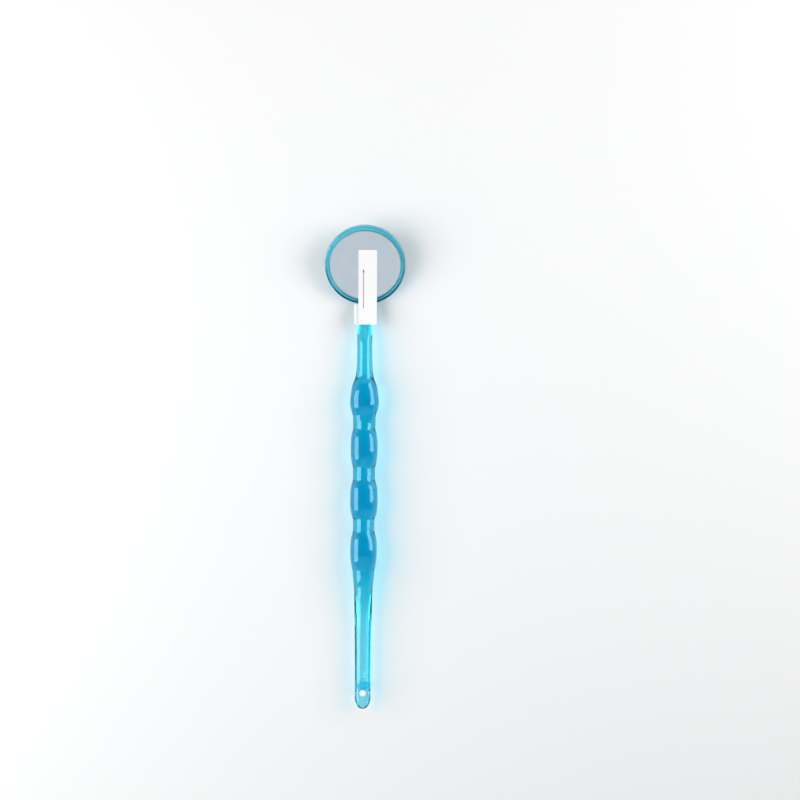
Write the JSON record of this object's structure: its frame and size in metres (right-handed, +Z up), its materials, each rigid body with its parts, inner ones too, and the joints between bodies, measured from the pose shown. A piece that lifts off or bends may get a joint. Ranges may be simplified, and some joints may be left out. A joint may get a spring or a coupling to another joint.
{
  "type": "mouth mirror",
  "caption": "Disposable mouth mirror: a tilted round mirror in a cup on a clear blue handle with bulged grips, a hanging hole, and a peel-off film with a pull tab.",
  "frame": {"origin": "under the middle of the whole mirror, on the surface that it lies on with the glass up", "axes": "+Y along the handle from the hanging hole to the head, +Z up out of the lying mirror, +X across it"},
  "size_m": [0.029, 0.174, 0.0114],
  "materials": {
    "clear_blue_plastic": "clear, glossy, tinted cyan blue",
    "adhesive": "matt, off-white",
    "mirror_coat": "mirror",
    "glass": "clear, polished",
    "clear_film": "clear with a slight haze",
    "paper": "smooth, white, with a thin red printed arrow"
  },
  "bodies": {
    "tool": {"handle": "clear_blue_plastic", "adhesive_pad": "adhesive", "mirror_glass": "glass", "mirror_coating": "mirror_coat"},
    "film": {"protective_film": "clear_film", "pull_tab": "paper"},
    "tab_end": {"pull_tab_flap": "paper"}
  },
  "joints": [
    {"name": "film_peel", "type": "slide", "parent": "tool", "child": "film", "axis": [0, -0.2924, 0.9563], "range_m": [0, 0.03]},
    {"name": "tab_lift", "type": "hinge", "parent": "film", "child": "tab_end", "pos_m": [0.00094, 0.06082, 0.00356], "axis": [-1, 0, 0], "range_deg": [0, 130]}
  ]
}
